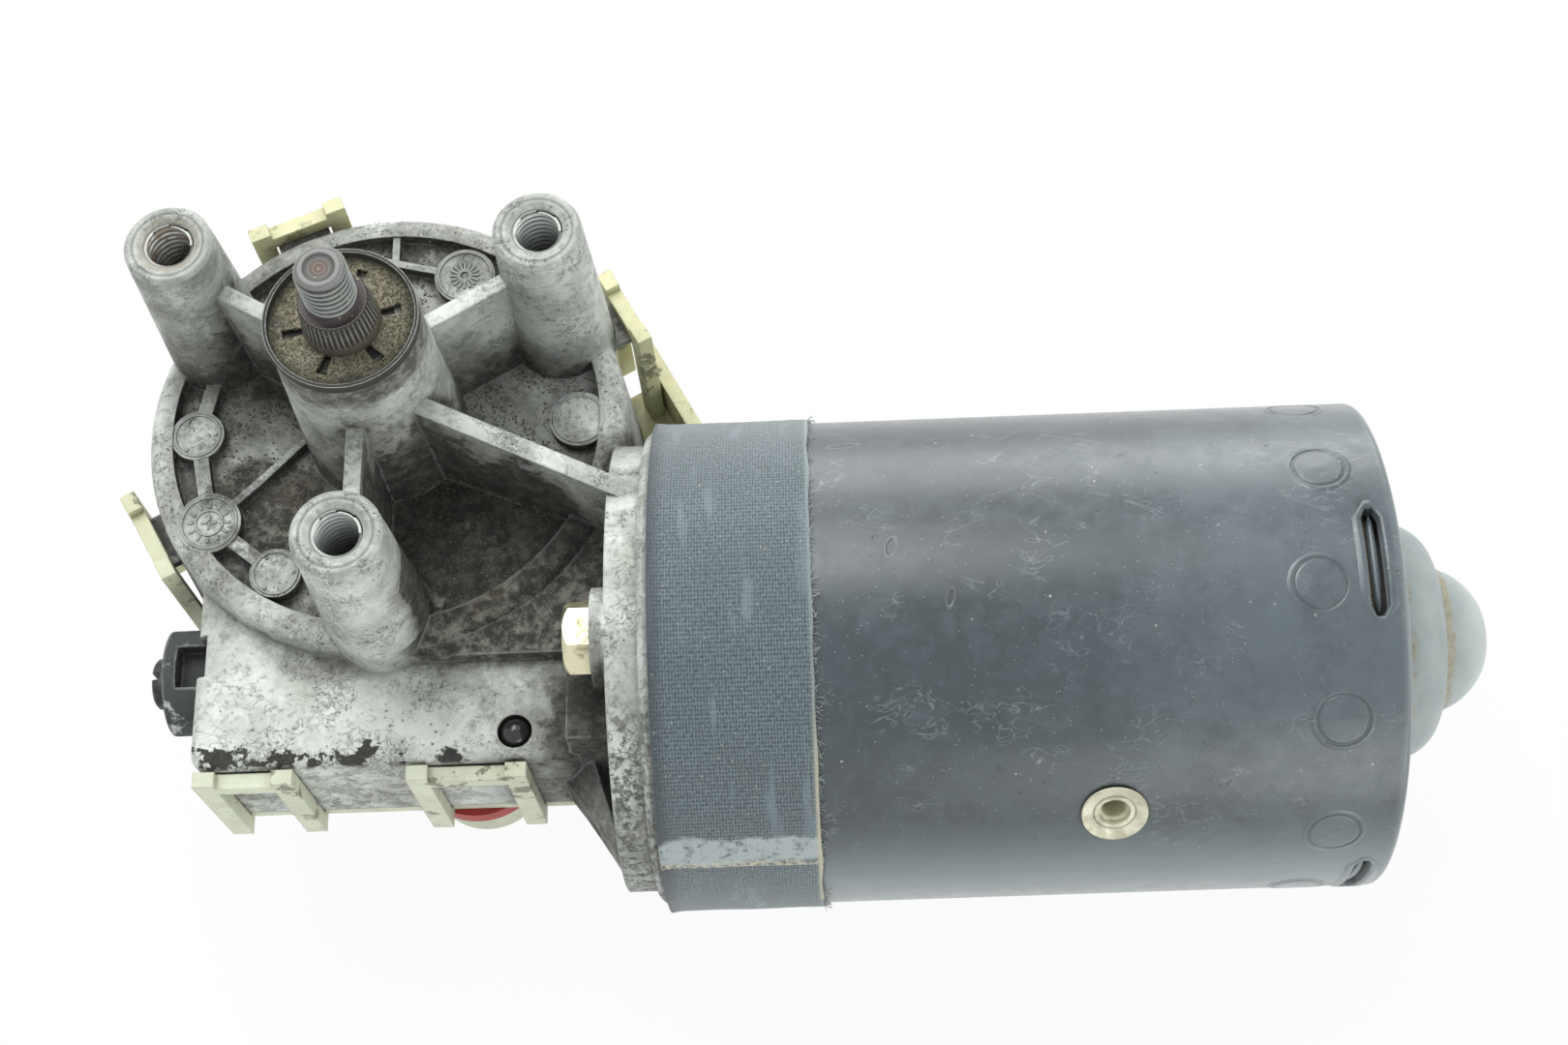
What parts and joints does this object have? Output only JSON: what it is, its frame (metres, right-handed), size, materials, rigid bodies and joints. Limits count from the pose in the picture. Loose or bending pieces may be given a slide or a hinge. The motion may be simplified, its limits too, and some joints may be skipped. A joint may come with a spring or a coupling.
{
  "type": "wiper motor",
  "caption": "Worm-geared windscreen wiper motor: die-cast gear housing with threaded mounting posts, splined cone output shaft, clip-on cover and a long rubber-sleeved motor can.",
  "frame": {"origin": "on the output shaft axis, level with the tops of the mounting posts", "axes": "+Z out along the output shaft, +X along the motor towards the bearing dome of its can, +Y away from the worm"},
  "size_m": [0.2229, 0.1213, 0.1092],
  "materials": {
    "cast_alloy": "as cast, grimy",
    "cream_plastic": "moulded, aged",
    "gasket_rubber": "matt",
    "red_seal": "matt",
    "contact_brass": "stamped",
    "sintered_bronze": "sintered, oiled",
    "steel": "machined",
    "rusty_steel": "rusted",
    "spring_steel": "stamped, weathered",
    "white_plastic": "moulded",
    "lamination_steel": "stacked laminations",
    "copper_wire": "enamelled",
    "copper": "turned",
    "black_steel": "black",
    "zinc_steel": "yellow zinc plate",
    "can_paint": "satin paint",
    "sleeve_rubber": "satin",
    "cloth_tape": "woven, frayed",
    "ferrite": "ground",
    "brown_board": "moulded",
    "carbon": "pressed",
    "blue_resin": "dipped"
  },
  "bodies": {
    "housing": {"gear_housing": "cast_alloy", "gear_cover": "cream_plastic", "cover_gasket": "gasket_rubber", "connector_seal": "red_seal", "connector_terminals": "contact_brass", "contact_springs": "contact_brass", "upper_shaft_bush": "sintered_bronze", "lower_shaft_bush": "sintered_bronze", "shaft_seal_ring": "gasket_rubber", "thrust_washer": "steel", "spindle_washers": "white_plastic", "end_bush": "sintered_bronze", "front_bush": "sintered_bronze", "end_play_screw": "black_steel", "thrust_pad": "white_plastic", "seal_ball": "steel", "clamp_screws": "zinc_steel", "pole_housing": "can_paint", "pole_sleeve": "sleeve_rubber", "joint_tape": "cloth_tape", "sleeve_rivet": "zinc_steel", "magnets": "ferrite", "magnet_springs": "spring_steel", "rear_bush": "sintered_bronze", "bush_retainer": "spring_steel", "brush_plate": "brown_board", "brush_boxes": "contact_brass", "brushes": "carbon", "brush_springs": "steel", "suppression_chokes": "ferrite", "suppression_capacitor": "blue_resin", "thermal_switch": "steel"},
    "output": {"output_shaft": "rusty_steel", "worm_wheel": "white_plastic", "wheel_hub": "steel", "contact_disc": "contact_brass", "star_lock_cap": "spring_steel"},
    "armature": {"armature_shaft": "steel", "armature_core": "lamination_steel", "armature_windings": "copper_wire", "commutator": "copper"}
  },
  "joints": [
    {"name": "armature_spin", "type": "hinge", "parent": "housing", "child": "armature", "pos_m": [0, -0.038, -0.0495], "axis": [1, 0, 0], "continuous": true},
    {"name": "output_spin", "type": "hinge", "parent": "housing", "child": "output", "pos_m": [0, 0, 0], "axis": [0, 0, 1], "continuous": true}
  ],
  "couplings": [
    {"joint": "output_spin", "follows": "armature_spin", "ratio": -0.014925}
  ]
}
